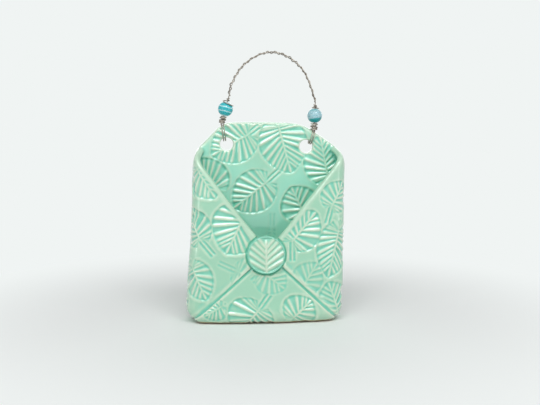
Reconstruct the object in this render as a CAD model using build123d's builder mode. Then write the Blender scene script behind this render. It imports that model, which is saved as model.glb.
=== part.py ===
from build123d import *

import os
from math import atan2, cos, degrees, dist, exp, pi, radians, sin, sqrt, tan

# Hanging wall vase, folded from clay slabs like an envelope, with a beaded wire handle.
# Millimetres, +Z up, the front faces -Y, and the origin is the middle of the flat foot.

# Clay body
BODY_HEIGHT = 164.0
BODY_DEPTH = 36.0
SLAB = 6.0
WALL = 5.0
FOLD_RADIUS = 10.0
EDGE_ROUND = 2.5
RIM_ROUND = 1.8
CROWN_RADIUS = 360.0
SIDE_LEAN = 3.0
BOTTOM_LEAN = 8.0

# Outline seen from the front, as corners (x, z) with the radius of each
OUTLINE = [
    ((-68.4, 0.0), 16.0),
    ((-62.6, 70.0), 400.0),
    ((-59.5, 138.5), 25.0),
    ((-35.3, BODY_HEIGHT), 19.0),
    ((29.0, BODY_HEIGHT), 37.0),
    ((65.4, 140.0), 22.0),
    ((63.3, 0.0), 15.0),
]

# Mouth and seams: the mouth's two edges and the seams are straight lines seen from the front,
# and the mouth rises towards the back
MOUTH_BOTTOM = 57.0
LEFT_MOUTH_SLOPE = 1.18
RIGHT_MOUTH_SLOPE = 1.11
MOUTH_RISE = 0.8
SEAM_TOP = 58.0
LEFT_SEAM_SLOPE = 0.88
RIGHT_SEAM_SLOPE = 0.94

# The flaps run out into the tab's edge at these two x
LEFT_SHOULDER = -54.0
RIGHT_SHOULDER = 57.7

# Leaves pressed into the clay, as places (x, z) seen from the front: where the stalk meets the
# blade, the tip, the blade's width, and the stalk's far end where the stalk was pressed too
SLAB_LEAVES = [
    ((-14, 154), (-45, 136), 36, (-5, 161)),
    ((11, 161), (22, 121), 41),
    ((53, 118), (46, 154), 37, (55, 111)),
    ((1, 114), (-27, 92), 36, (12, 124)),
    ((-51, 103), (-45, 137), 38),
    ((36, 85), (21, 110), 38),
]
SIDE_LEAVES = [
    ((-46, 93), (-78, 116), 36),
    ((-55, 70), (-69, 95), 29, (-44, 57)),
    ((-18, 91), (-32, 59), 45),
    ((-62, 47), (-50, 20), 27),
    ((20, 67), (39, 92), 31, (20, 52)),
    ((53, 96), (64, 116), 28, (49, 82)),
    ((59, 76), (50, 37), 31),
    ((60, 6), (50, 34), 33),
]
BOTTOM_LEAVES = [
    ((-38, 16), (-52, 7), 20),
    ((-8, 13), (-26, -10), 42, (1, 25)),
    ((20, 5), (36, 20), 31),
]
LEAF_DEPTH = 1.0
LEAF_RIB = 1.8
STALK_BED = 4.4

# Veins leave the midrib closely at the base and wider apart towards the tip. Their angle to it falls
# from the base angle to the tip angle over the fan's share of the length.
LEAF_VEIN_SPACING = 4.2
LEAF_VEINS_OVER = 0.85
LEAF_VEIN_CROWDING = 1.5
LEAF_TIP_ANGLE = 36.0
LEAF_BASE_ANGLE = 98.0
LEAF_LOBE_ANGLE = 122.0
LEAF_FAN = 0.25
LEAF_FAN_POWER = 1.3

# The blade's shape, as shares of its length or width
LEAF_WIDEST = 0.34
LEAF_LOBE = 0.165
LEAF_LOBE_SPREAD = 1.1
LEAF_BASE_WIDTH = 0.388
LEAF_SHOULDER = 0.67
LEAF_SHOULDER_WIDTH = 0.397

# Clay left plain along the mouth, the seams and the foot
PLAIN_RIM = 3.5
PLAIN_SEAM = 3.0
PLAIN_FOOT = 3.0

# Leaf seal
SEAL_RADIUS = 16.0
SEAL_THICKNESS = 4.5
SEAL_ROUND = 2.0
SEAL_X = -1.5
SEAL_HEIGHT = 57.5
SEAL_LEAF_LENGTH = 25.0
VEIN_PAIRS = 5
VEIN_WIDTH = 1.3
VEIN_RISE = 0.7
VEIN_SLANT = 45.0
VEIN_REACH = 0.62
VEIN_START = -0.4

# Wire holes in the tab
HOLE_RADIUS = 5.5
HOLE_ROUND = 1.5
LEFT_HOLE = (-32.0, 146.0)
RIGHT_HOLE = (34.5, 144.0)

# Wire handle: a doubled loop through each hole, a wound neck, a bead and the twisted arch
WIRE = 0.9
WIRE_GAP = 0.06
STRAND_SPREAD = 0.8
NECK_SPREAD = 0.7
PIVOT = {"left": (-34.6, 156.0), "right": (39.2, 151.8)}
LOOP_LEAN = {"left": -8.0, "right": 18.0}
LOOP_RADIUS = {"left": 7.35, "right": 6.0}
STEM_LEAN = {"left": 15.5, "right": 2.5}
LOOP_SHOULDER = 1.0
STRAND_END = 0.9
CORE_START = 1.4
NECK_TURNS = 3
NECK_PITCH = 1.34
NECK_ROOM = 0.3
CAP_TURNS = 2
CAP_PITCH = 1.5
CAP_RADIUS = 2.7
STEM_TOP = 11.5
TWIST_RADIUS = 1.1
TWIST_TURNS = 17

# Each turn of a winding is drawn with this many pairs of arcs
ARCS_PER_TURN = 4

# The arch between the stems, points (x, z) chosen by hand
ARCH = [
    (-27.6, 195.5),
    (-19.0, 209.5),
    (-6.0, 218.9),
    (7.0, 221.5),
    (19.6, 217.6),
    (31.0, 208.0),
    (37.4, 196.0),
]

# Glass beads
BEAD_RADIUS = 6.2
BEAD_FLAT = 5.75
BEAD_BORE = 0.75
BEAD_CLEARANCE = 0.3

back_y = (BODY_DEPTH + EDGE_ROUND - FOLD_RADIUS) / 2
slab_front_y = back_y - SLAB
front_y = back_y - BODY_DEPTH
back_plane = Plane.XZ.offset(-back_y)
slab_plane = Plane.XZ.offset(-slab_front_y)
front_plane = Plane.XZ.offset(EDGE_ROUND - front_y)
form_length = 2 * BODY_DEPTH
far = 4 * BODY_HEIGHT


def body_outline(plane, inset=0):
    """The body's outline seen from the front, moved inwards by inset."""
    with BuildSketch(plane) as outline:
        with BuildLine():
            FilletPolyline(
                *[corner for corner, radius in OUTLINE],
                radius=[radius for corner, radius in OUTLINE],
                close=True,
            )
        make_face()
        if inset:
            offset(amount=-inset, mode=Mode.REPLACE)
    return outline.sketch


def pillow(lean, inset):
    """The outline carried forward from the slab to a crowned front that leans back from the foot."""
    with BuildPart() as form:
        extrude(body_outline(slab_plane, inset), amount=form_length)
        with Locations(Location((0, front_y + CROWN_RADIUS, 0), (-lean, 0, 0))):
            Cylinder(CROWN_RADIUS - inset, far, mode=Mode.INTERSECT)
        fillet(form.faces().sort_by(Axis.Y)[0].edges(), FOLD_RADIUS - inset)
    return form.part


# Forms that the clay pieces are cut from
side_outer = pillow(SIDE_LEAN, 0)
side_inner = pillow(SIDE_LEAN, WALL)
bottom_outer = pillow(BOTTOM_LEAN, 0)
bottom_inner = pillow(BOTTOM_LEAN, WALL)

mouth_back = MOUTH_BOTTOM + MOUTH_RISE * (slab_front_y - front_y)
with BuildPart() as mouth:
    with BuildSketch(slab_plane):
        with BuildLine():
            Polyline(
                (0, mouth_back),
                (far, mouth_back + far * RIGHT_MOUTH_SLOPE),
                (-far, mouth_back + far * LEFT_MOUTH_SLOPE),
                close=True,
            )
        make_face()
    extrude(amount=form_length, dir=(0, -1, -MOUTH_RISE))

with BuildPart() as seam_wedge:
    with BuildSketch(slab_plane):
        with BuildLine():
            Polyline(
                (0, SEAM_TOP),
                (far, SEAM_TOP - far * RIGHT_SEAM_SLOPE),
                (-far, SEAM_TOP - far * LEFT_SEAM_SLOPE),
                close=True,
            )
        make_face()
    extrude(amount=form_length)


# Pressed leaves
def pressed_leaf(stalk, tip, width, stalk_end=None):
    """One leaf seen from the front: its blade and stalk bed, less the ribs that stand up in them."""
    length = dist(stalk, tip)
    heading = degrees(atan2(tip[1] - stalk[1], tip[0] - stalk[0]))
    lobe = (-LEAF_LOBE * length, LEAF_LOBE_SPREAD * LEAF_LOBE * length)
    widest = (LEAF_WIDEST * length, width / 2)
    count = round(length / LEAF_VEIN_SPACING)
    veins = [(0, LEAF_LOBE_ANGLE)]
    for vein in range(count):
        start = LEAF_VEINS_OVER * (vein / count) ** LEAF_VEIN_CROWDING
        spread = exp(-((start / LEAF_FAN) ** LEAF_FAN_POWER))
        veins.append((start * length, LEAF_TIP_ANGLE + (LEAF_BASE_ANGLE - LEAF_TIP_ANGLE) * spread))
    with BuildSketch() as ribs:
        Rectangle(length, LEAF_RIB, align=(Align.MIN, Align.CENTER))
        for start, angle in veins:
            with Locations((start, 0)):
                for side in (-1, 1):
                    Rectangle(width, LEAF_RIB, rotation=side * angle, align=(Align.MIN, Align.CENTER))
    with BuildSketch() as leaf:
        with BuildLine():
            Line((0, 0), lobe)
            ThreePointArc(lobe, (0, LEAF_BASE_WIDTH * width), widest)
            ThreePointArc(widest, (LEAF_SHOULDER * length, LEAF_SHOULDER_WIDTH * width), (length, 0))
            mirror(about=Plane.XZ)
        make_face()
        add(ribs.sketch, mode=Mode.SUBTRACT)
        if stalk_end:
            back = dist(stalk, stalk_end)
            turn = degrees(atan2(stalk_end[1] - stalk[1], stalk_end[0] - stalk[0])) - heading
            Rectangle(back, STALK_BED, rotation=turn, align=(Align.MIN, Align.CENTER))
            Rectangle(back, LEAF_RIB, rotation=turn, align=(Align.MIN, Align.CENTER), mode=Mode.SUBTRACT)
    return leaf.sketch.moved(Location((*stalk, 0), (0, 0, heading)))


def pressed_leaves(leaves, plane, depth):
    """Leaves carried into the clay from a plane in front of it."""
    with BuildPart() as pressed:
        for leaf in leaves:
            extrude(plane * pressed_leaf(*leaf), amount=-depth)
    return pressed.part


def flap_prints(leaves, lean):
    """The clay that leaves push in on a folded flap, clear of the mouth, the seal and the foot."""
    with BuildPart() as pressed:
        add(pressed_leaves(leaves, front_plane, 2 * FOLD_RADIUS))
        add(pillow(lean, LEAF_DEPTH), mode=Mode.SUBTRACT)
        add(mouth.part.moved(Location((0, 0, -PLAIN_RIM))), mode=Mode.SUBTRACT)
        with BuildSketch(front_plane):
            with Locations((SEAL_X, SEAL_HEIGHT)):
                Circle(SEAL_RADIUS)
        extrude(amount=-2 * FOLD_RADIUS, mode=Mode.SUBTRACT)
        split(bisect_by=Plane.XY.offset(PLAIN_FOOT), keep=Keep.TOP)
    return pressed.part


side_prints = flap_prints(SIDE_LEAVES, SIDE_LEAN)
side_prints -= seam_wedge.part.moved(Location((0, 0, PLAIN_SEAM)))
bottom_prints = flap_prints(BOTTOM_LEAVES, BOTTOM_LEAN)
bottom_prints &= seam_wedge.part.moved(Location((0, 0, -PLAIN_SEAM)))

# Clay pieces. Above the shoulders, where the flaps end, the slab's front edge is rounded too.
left_shoulder = Vector(LEFT_SHOULDER, 0, mouth_back - LEFT_SHOULDER * LEFT_MOUTH_SLOPE)
right_shoulder = Vector(RIGHT_SHOULDER, 0, mouth_back + RIGHT_SHOULDER * RIGHT_MOUTH_SLOPE)
across = right_shoulder - left_shoulder
shoulder_plane = Plane(left_shoulder, x_dir=across, z_dir=across.cross(Vector(0, 1, 0)))

with BuildPart() as tab:
    extrude(body_outline(back_plane), amount=SLAB)
    fillet(tab.faces().sort_by(Axis.Y)[0].edges(), EDGE_ROUND)
    fillet(tab.faces().sort_by(Axis.Y)[-1].edges(), EDGE_ROUND)
    split(bisect_by=shoulder_plane, keep=Keep.TOP)

# Leaves on the slab keep clear of the flaps' foot, and on the tab of the rounded edge
with BuildPart() as tab_room:
    extrude(body_outline(slab_plane, EDGE_ROUND), amount=SLAB, both=True)
    split(bisect_by=shoulder_plane, keep=Keep.TOP)

with BuildPart() as slab_room:
    extrude(body_outline(slab_plane, WALL), amount=SLAB, both=True)
    add(tab_room.part)

slab_prints = pressed_leaves(SLAB_LEAVES, slab_plane.offset(EDGE_ROUND), EDGE_ROUND + LEAF_DEPTH)
slab_prints &= slab_room.part

with BuildPart() as back_slab:
    extrude(body_outline(back_plane), amount=SLAB)
    fillet(back_slab.faces().sort_by(Axis.Y)[-1].edges(), EDGE_ROUND)
    split(bisect_by=shoulder_plane, keep=Keep.BOTTOM)
    add(tab.part)
    with BuildSketch(back_plane):
        with Locations(LEFT_HOLE, RIGHT_HOLE):
            Circle(HOLE_RADIUS)
    extrude(amount=SLAB, mode=Mode.SUBTRACT)
    round_edges = back_slab.edges().filter_by(GeomType.CIRCLE)
    hole_edges = [edge for edge in round_edges if round(edge.radius, 3) == HOLE_RADIUS]
    fillet(hole_edges, HOLE_ROUND)
    add(slab_prints, mode=Mode.SUBTRACT)


def side_flap(keep):
    """A side flap: the pillow's wall on one side, outside the mouth and the seam."""
    with BuildPart() as flap:
        add(side_outer)
        add(side_inner, mode=Mode.SUBTRACT)
        add(mouth.part, mode=Mode.SUBTRACT)
        add(seam_wedge.part, mode=Mode.SUBTRACT)
        split(bisect_by=Plane.YZ, keep=keep)
        rim = flap.faces().filter_by(GeomType.PLANE).sort_by(Axis.Z)[-1]
        fillet(rim.edges().sort_by(SortBy.LENGTH)[-2:], RIM_ROUND)
        add(side_prints, mode=Mode.SUBTRACT)
    return flap.part


left_flap = side_flap(Keep.BOTTOM)
right_flap = side_flap(Keep.TOP)

with BuildPart() as bottom_flap:
    add(bottom_outer)
    add(bottom_inner, mode=Mode.SUBTRACT)
    add(mouth.part, mode=Mode.SUBTRACT)
    add(seam_wedge.part, mode=Mode.INTERSECT)
    add(bottom_prints, mode=Mode.SUBTRACT)

# Leaf seal, whose back follows the crowned flaps
seal_y = front_y + SEAL_HEIGHT * tan(radians(SIDE_LEAN))
seal_plane = Plane(Location((SEAL_X, seal_y, SEAL_HEIGHT), (90 - SIDE_LEAN, 0, 0)))

with BuildPart() as leaf_seal:
    with BuildSketch(seal_plane.offset(-SEAL_ROUND)):
        Circle(SEAL_RADIUS)
    extrude(amount=SEAL_THICKNESS + SEAL_ROUND)
    fillet(leaf_seal.faces().sort_by(Axis.Y)[0].edges(), SEAL_ROUND)
    with BuildSketch(seal_plane.offset(SEAL_THICKNESS)):
        SlotOverall(SEAL_LEAF_LENGTH, VEIN_WIDTH, rotation=90)
        for pair in range(VEIN_PAIRS):
            height = SEAL_LEAF_LENGTH * (VEIN_START + pair / VEIN_PAIRS)
            reach = sqrt((SEAL_RADIUS - SEAL_ROUND - VEIN_WIDTH) ** 2 - height**2) * VEIN_REACH
            rise = reach * tan(radians(VEIN_SLANT))
            for direction in (-1, 1):
                with Locations((direction * reach / 2, height + rise / 2)):
                    SlotOverall(sqrt(reach**2 + rise**2), VEIN_WIDTH, rotation=direction * VEIN_SLANT)
    extrude(amount=VEIN_RISE)
    add(side_outer, mode=Mode.SUBTRACT)


# Wire handle, in the middle plane of the slab
handle_y = back_y - SLAB / 2


def leaning_plane(x, z, lean):
    """Upright plane through a point of the handle: local x runs back, local y up the lean."""
    back = Vector(0, 1, 0)
    up = Vector(sin(radians(lean)), 0, cos(radians(lean)))
    return Plane((x, handle_y, z), x_dir=back, z_dir=back.cross(up))


def loop_top(side):
    """Height above the pivot where the loop's strands come together."""
    return sqrt((LOOP_RADIUS[side] + LOOP_SHOULDER) ** 2 - (NECK_SPREAD + LOOP_SHOULDER) ** 2)


def stem_foot(side):
    """Point at the top of the loop, where the stem starts."""
    return loops[side].from_local_coords(Vector(0, loop_top(side), 0))


loops = {side: leaning_plane(*PIVOT[side], LOOP_LEAN[side]) for side in PIVOT}
stems = {side: leaning_plane(stem_foot(side).X, stem_foot(side).Z, STEM_LEAN[side]) for side in PIVOT}

# Heights on a stem: the neck wrap's first and last turn, and the bead, which stands just clear
neck_bottom = NECK_ROOM + WIRE / 2
neck_top = neck_bottom + NECK_TURNS * NECK_PITCH
bead_middle = neck_top + WIRE / 2 + BEAD_CLEARANCE + BEAD_FLAT


def tube(path):
    """A wire of round section along a path."""
    with BuildPart() as wire:
        with BuildSketch(Plane(path @ 0, z_dir=path % 0)):
            Circle(WIRE / 2)
        sweep(path=path)
    return wire.part


def smooth_path(points, tangents):
    """A line of arcs through the points, two from each point to the next, smooth all along."""
    with BuildLine() as path:
        for start, end, leave, arrive in zip(points, points[1:], tangents, tangents[1:]):
            chord = end - start
            both = chord.dot(leave + arrive)
            bend = 2 * (1 - leave.dot(arrive))
            reach = (sqrt(both**2 + bend * chord.dot(chord)) - both) / bend
            middle = (start + end + (leave - arrive) * reach) * 0.5
            across = (end - arrive * reach) - (start + leave * reach)
            TangentArc(start, middle, tangent=leave)
            TangentArc(middle, end, tangent=across)
    return path.wire()


def least_gap(path, turns):
    """Least room between one turn of a wound wire and the next, measured on points."""
    per_turn = 48
    apart = per_turn * 5 // 8
    steps = per_turn * turns
    points = [tuple(path.position_at(step / steps)) for step in range(steps + 1)]
    return min(
        dist(points[first], points[second]) - WIRE
        for first in range(steps)
        for second in range(first + apart, steps + 1)
    )


def winding(name, point_at, turns):
    """A wire wound along point_at, which takes the number of turns made, with straight ends."""
    steps = [step / ARCS_PER_TURN for step in range(ARCS_PER_TURN * turns + 1)]
    points = [point_at(turn) for turn in steps]
    small = 0.001
    tangents = [(point_at(turn + small) - point_at(turn - small)).normalized() for turn in steps]
    turns_line = smooth_path(points, tangents)
    with BuildLine() as path:
        Line(points[0] - tangents[0] * WIRE, points[0])
        add(turns_line)
        Line(points[-1], points[-1] + tangents[-1] * WIRE)
    print(name, "least gap", round(least_gap(turns_line, turns), 2), "mm")
    return tube(path.wire())


def loop_strand(side, shift):
    """One strand of a hole loop: round the clay above the hole and up into the neck."""
    radius = LOOP_RADIUS[side]
    top = loop_top(side)
    shoulder_x = NECK_SPREAD + LOOP_SHOULDER
    opening = degrees(atan2(shoulder_x, top))
    turn = 90 - opening
    with BuildLine(loops[side].offset(shift)) as strand:
        Line((-NECK_SPREAD, top + STRAND_END), (-NECK_SPREAD, top))
        CenterArc((-shoulder_x, top), LOOP_SHOULDER, 0, -turn)
        CenterArc((0, 0), radius, 90 + opening, 360 - 2 * opening)
        CenterArc((shoulder_x, top), LOOP_SHOULDER, 180 + turn, -turn)
        Line((NECK_SPREAD, top), (NECK_SPREAD, top + STRAND_END))
    return tube(strand.wire())


def stem_winding(name, side, bottom, pitch, radius_at, turns):
    """A wire wound round the stem, upwards from bottom."""

    def point_at(turn):
        angle = 2 * pi * turn
        radius = radius_at(turn)
        local = Vector(radius * cos(angle), bottom + turn * pitch, radius * sin(angle))
        return stems[side].from_local_coords(local)

    return winding(name, point_at, turns)


def neck_wrap(side):
    """Turns of wire round the strand ends and the core, under the bead."""
    strand_lean = STRAND_END * tan(radians(abs(STEM_LEAN[side] - LOOP_LEAN[side])))
    radius = sqrt((STRAND_SPREAD + strand_lean) ** 2 + NECK_SPREAD**2) + WIRE + WIRE_GAP
    return stem_winding(
        side + "_neck_wrap", side, neck_bottom, NECK_PITCH, lambda turn: radius, NECK_TURNS
    )


def cap_wrap(side):
    """Turns of wire on top of the bead, closing in on the core."""
    tight = WIRE + WIRE_GAP
    clear = BEAD_RADIUS + BEAD_CLEARANCE + WIRE / 2
    bottom = bead_middle + sqrt(clear**2 - CAP_RADIUS**2)

    def radius_at(turn):
        return CAP_RADIUS + (tight - CAP_RADIUS) * turn / CAP_TURNS

    return stem_winding(side + "_cap_wrap", side, bottom, CAP_PITCH, radius_at, CAP_TURNS)


def glass_bead(side):
    """A drilled round bead, flat at both ends of its bore."""
    plane = stems[side]
    with BuildPart() as bead:
        with BuildSketch(plane):
            with Locations((0, bead_middle)):
                Circle(BEAD_RADIUS)
            with Locations((BEAD_BORE, bead_middle)):
                Rectangle(
                    BEAD_RADIUS, 2 * BEAD_FLAT, align=(Align.MIN, Align.CENTER), mode=Mode.INTERSECT
                )
        revolve(axis=Axis(plane.origin, plane.y_dir))
    return bead.part


# Arch: up the left stem, through the points and down the right stem
def on_stem(side, height):
    """A point on the stem's own line."""
    return stems[side].from_local_coords(Vector(0, height, 0))


left_start = on_stem("left", CORE_START)
left_end = on_stem("left", bead_middle + STEM_TOP)
right_start = on_stem("right", bead_middle + STEM_TOP)
right_end = on_stem("right", CORE_START)
arch_points = [left_end] + [Vector(x, handle_y, z) for x, z in ARCH] + [right_start]
arch_tangents = [
    (after - before).normalized() for before, after in zip(arch_points, arch_points[2:])
]
arch_tangents = [stems["left"].y_dir] + arch_tangents + [-stems["right"].y_dir]
arch_line = smooth_path(arch_points, arch_tangents)
with BuildLine() as core_line:
    Line(left_start, left_end)
    add(arch_line)
    Line(right_start, right_end)


def twist_point(turn):
    """A point of the second wire, which winds round the arch."""
    along = min(max(turn / TWIST_TURNS, 0), 1)
    middle = arch_line.position_at(along)
    outward = Vector(0, 1, 0).cross(arch_line.tangent_at(along))
    angle = 2 * pi * turn
    return middle + outward * (TWIST_RADIUS * cos(angle)) + Vector(0, TWIST_RADIUS * sin(angle), 0)


for side in PIVOT:
    print(side, "bead centre", [round(value, 2) for value in on_stem(side, bead_middle)])
core_wire = tube(core_line.wire())
twist_wire = winding("twist_wire", twist_point, TWIST_TURNS)

# Each hole's two strands are told apart by which is nearer the middle of the vase
pieces = {
    "back_slab": back_slab.part,
    "left_flap": left_flap,
    "right_flap": right_flap,
    "bottom_flap": bottom_flap.part,
    "leaf_seal": leaf_seal.part,
    "left_outer_loop": loop_strand("left", -STRAND_SPREAD),
    "left_inner_loop": loop_strand("left", STRAND_SPREAD),
    "right_inner_loop": loop_strand("right", -STRAND_SPREAD),
    "right_outer_loop": loop_strand("right", STRAND_SPREAD),
    "core_wire": core_wire,
    "twist_wire": twist_wire,
}
for side in PIVOT:
    pieces[side + "_neck_wrap"] = neck_wrap(side)
    pieces[side + "_bead"] = glass_bead(side)
    pieces[side + "_cap_wrap"] = cap_wrap(side)

os.makedirs("parts", exist_ok=True)
for name, piece in pieces.items():
    piece.label = name
    export_step(piece, f"parts/{name}.step")
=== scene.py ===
# %% [markdown]
# # A hanging wall vase in celadon glaze
#
# The real vase is folded from slabs of soft clay like an envelope: a flat back, two side flaps and
# a bottom flap, held by a round clay seal. Leaves were pressed into the clay before it was folded,
# and a clear green glaze runs off the ridges and pools in the hollows. A twisted wire handle with
# two glass beads hangs in two holes.
#
# The CAD frame already has every piece at its true size and place. This lesson gives each of them
# the look of the real one: soft edges, pressed leaves, glaze, bent wire and striped glass.

from math import cos, exp, hypot, pi, radians, sin, sqrt, tan

import bmesh
import bpy
import numpy as np
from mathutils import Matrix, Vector


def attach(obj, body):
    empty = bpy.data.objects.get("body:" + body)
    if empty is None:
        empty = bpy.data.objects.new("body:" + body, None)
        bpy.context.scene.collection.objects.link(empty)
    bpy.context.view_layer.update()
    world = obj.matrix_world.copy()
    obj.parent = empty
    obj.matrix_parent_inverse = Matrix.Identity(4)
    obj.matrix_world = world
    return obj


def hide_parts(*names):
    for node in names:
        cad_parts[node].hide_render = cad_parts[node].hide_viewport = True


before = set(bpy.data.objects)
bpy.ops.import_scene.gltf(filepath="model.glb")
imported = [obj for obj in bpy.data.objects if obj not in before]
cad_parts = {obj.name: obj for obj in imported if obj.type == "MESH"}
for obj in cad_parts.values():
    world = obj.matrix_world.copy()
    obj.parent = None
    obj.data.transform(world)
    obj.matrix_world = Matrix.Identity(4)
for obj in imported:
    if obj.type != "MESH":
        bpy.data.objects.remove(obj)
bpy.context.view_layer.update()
MM = 0.001

# %% [markdown]
# ## The camera
#
# The photograph is taken a little from the left and from above. The camera is placed by those two
# angles round the middle of the picture, which is easier to adjust than a position.

# %% Place the camera
LOOK_AT = Vector((3.3, 0.0, 98.0)) * MM
VIEW_FROM_LEFT = radians(5.0)
VIEW_FROM_ABOVE = radians(6.5)
VIEW_DISTANCE = 650 * MM
VIEW_WIDTH = radians(38.0)

lens = bpy.data.cameras.new("camera")
lens.sensor_fit = "HORIZONTAL"
lens.angle = VIEW_WIDTH
camera = bpy.data.objects.new("camera", lens)
bpy.context.collection.objects.link(camera)
towards_camera = Vector((
    -sin(VIEW_FROM_LEFT) * cos(VIEW_FROM_ABOVE),
    -cos(VIEW_FROM_LEFT) * cos(VIEW_FROM_ABOVE),
    sin(VIEW_FROM_ABOVE),
))
camera.location = LOOK_AT + towards_camera * VIEW_DISTANCE
camera.rotation_euler = (-towards_camera).to_track_quat("-Z", "Y").to_euler()
bpy.context.scene.camera = camera
print("camera at, mm:", [round(value / MM) for value in camera.location])

# %% [markdown]
# ## One body of clay
#
# Slabs of wet clay are pressed together, and their joints are smoothed with a finger, so on the
# real vase the four pieces read as one soft body. Rounding four separate solids would leave gaps
# between them, so copies of the four are joined into one skin.
#
# The CAD slabs have their leaves as sunk faces with square walls. Softer leaves are pressed into the
# skin later, in the same places, so these are filled first. Faces that meet at a soft angle make a
# patch, every small patch is a floor or a wall of a print, and without them the clay has flat holes
# that are closed flush.

# %% Group faces into patches
SOFT_ANGLE = radians(40)


def patches(faces):
    """The faces in groups that hang together over soft edges."""
    left = set(faces)
    groups = []
    while left:
        group = [left.pop()]
        for face in group:
            for edge in face.edges:
                if edge.calc_face_angle(0) < SOFT_ANGLE:
                    following = left.intersection(edge.link_faces)
                    left -= following
                    group += following
        groups.append(group)
    return groups


# %% Fill the CAD's prints
CLAY_PIECES = ["back_slab", "left_flap", "right_flap", "bottom_flap"]
SMALL_PATCH = 150 * MM**2
SAME_PLACE = 1e-6


def plain_clay(piece_name):
    """A copy of a CAD piece without its prints."""
    clay = bmesh.new()
    clay.from_mesh(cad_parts[piece_name].data)
    bmesh.ops.remove_doubles(clay, verts=clay.verts[:], dist=SAME_PLACE)
    sunk = []
    for patch in patches(clay.faces):
        if sum(face.calc_area() for face in patch) < SMALL_PATCH:
            sunk += patch
    bmesh.ops.delete(clay, geom=sunk, context="FACES")
    bmesh.ops.holes_fill(clay, edges=[edge for edge in clay.edges if edge.is_boundary], sides=0)
    leftover = [edge for edge in clay.edges if edge.is_boundary]
    bmesh.ops.triangle_fill(clay, use_beauty=True, edges=leftover)
    bmesh.ops.triangulate(clay, faces=clay.faces[:], ngon_method="BEAUTY")
    bmesh.ops.recalc_face_normals(clay, faces=clay.faces[:])
    mesh = bpy.data.meshes.new(piece_name + "_plain")
    clay.to_mesh(mesh)
    clay.free()
    return mesh


joined = bmesh.new()
for piece_name in CLAY_PIECES:
    joined.from_mesh(plain_clay(piece_name))
print("joined clay, open edges:", sum(edge.is_boundary for edge in joined.edges))

# %% [markdown]
# A bevel would round each piece, but not the joints between them. A voxel remesh turns the joined
# copies into one even skin instead, which is relaxed a little, shaped, and cut into the four pieces
# again at the end.

# %% Make the skin
CLAY_GRAIN = 0.55 * MM


def new_piece(build, name):
    """An object in the scene from a mesh that was built up."""
    mesh = bpy.data.meshes.new(name)
    build.to_mesh(mesh)
    build.free()
    piece = bpy.data.objects.new(name, mesh)
    bpy.context.collection.objects.link(piece)
    return piece


clay_body = new_piece(joined, "clay_body")
skin = clay_body.modifiers.new("skin", "REMESH")
skin.mode = "VOXEL"
skin.voxel_size = CLAY_GRAIN
ready = clay_body.evaluated_get(bpy.context.evaluated_depsgraph_get())
clay_skin = bpy.data.meshes.new_from_object(ready)
bpy.data.objects.remove(clay_body)
print("clay skin:", len(clay_skin.vertices), "points,", len(clay_skin.polygons), "faces")

# %% [markdown]
# The skin could be sculpted with brushes. Formulas do it here, so that the clay is the same each time:
# numpy reads all points at once, moves them, and writes them back.
#
# `spread` mixes each point's value with its neighbours' along the edges, as often as asked. On
# places it rounds edges, and on numbers it blurs them.

# %% Neighbours of each point
point_count = len(clay_skin.vertices)
edge_ends = np.empty(len(clay_skin.edges) * 2, dtype=np.int64)
clay_skin.edges.foreach_get("vertices", edge_ends)
edge_ends = edge_ends.reshape(-1, 2)
near_end = np.concatenate([edge_ends[:, 0], edge_ends[:, 1]])
far_end = np.concatenate([edge_ends[:, 1], edge_ends[:, 0]])
neighbour_count = np.bincount(near_end, minlength=point_count)


def spread(values, rounds):
    """Each value mixed with the mean of its neighbours, as many times as rounds says."""
    columns = values.reshape(point_count, -1).T.copy()
    for _ in range(rounds):
        for number, column in enumerate(columns):
            total = np.bincount(near_end, weights=column[far_end], minlength=point_count)
            columns[number] = (column + total / neighbour_count) / 2
    return columns.T.reshape(values.shape)


print("edges of the skin:", len(edge_ends))

# %% Read and write the points
def read_places():
    """The skin's points in millimetres."""
    flat = np.empty(point_count * 3)
    clay_skin.vertices.foreach_get("co", flat)
    return flat.reshape(-1, 3) / MM


def write_places(places):
    """Puts the points back, and returns their new normals."""
    clay_skin.vertices.foreach_set("co", (places * MM).ravel())
    clay_skin.update()
    flat = np.empty(point_count * 3)
    clay_skin.vertex_normals.foreach_get("vector", flat)
    return flat.reshape(-1, 3)


# %% Soften the skin
SOFTEN_ROUNDS = 10

places = spread(read_places(), SOFTEN_ROUNDS)
places[:, 2] = np.maximum(places[:, 2], 0)
normals = write_places(places)
print("softened clay, mm:", np.round(places.min(0), 1), np.round(places.max(0), 1))

# %% [markdown]
# ## Which side of the clay
#
# Leaves show on the back slab inside the mouth, and on the outside of the flaps. A point is outside
# if its normal points away from the middle of the pocket. The flaps' leaves go round the folds, so
# a point there gets the place it had before folding: the way round the bend is laid out flat.

# %% Unfold the flaps
FRONT_Y = -21.75
FOLD = 10.0
ROUND_A_FOLD = 0.57
SIDE_LEAN = radians(3)
BOTTOM_LEAN = radians(8)
CROWN = 360.0
SEAM_TOP = 58.0
LEFT_SEAM_SLOPE = 0.88
RIGHT_SEAM_SLOPE = 0.94
LEAST_SIDEWAYS = 0.2

x, y, z = places.T
seam_slope = np.where(x < 0, LEFT_SEAM_SLOPE, RIGHT_SEAM_SLOPE)
past_seam = (z - SEAM_TOP + seam_slope * np.abs(x)) / np.hypot(1, seam_slope)
lean = np.where(past_seam > 0, SIDE_LEAN, BOTTOM_LEAN)
behind_front = np.maximum(y - (FRONT_Y + z * np.tan(lean) + x**2 / (2 * CROWN)), 0)

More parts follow.
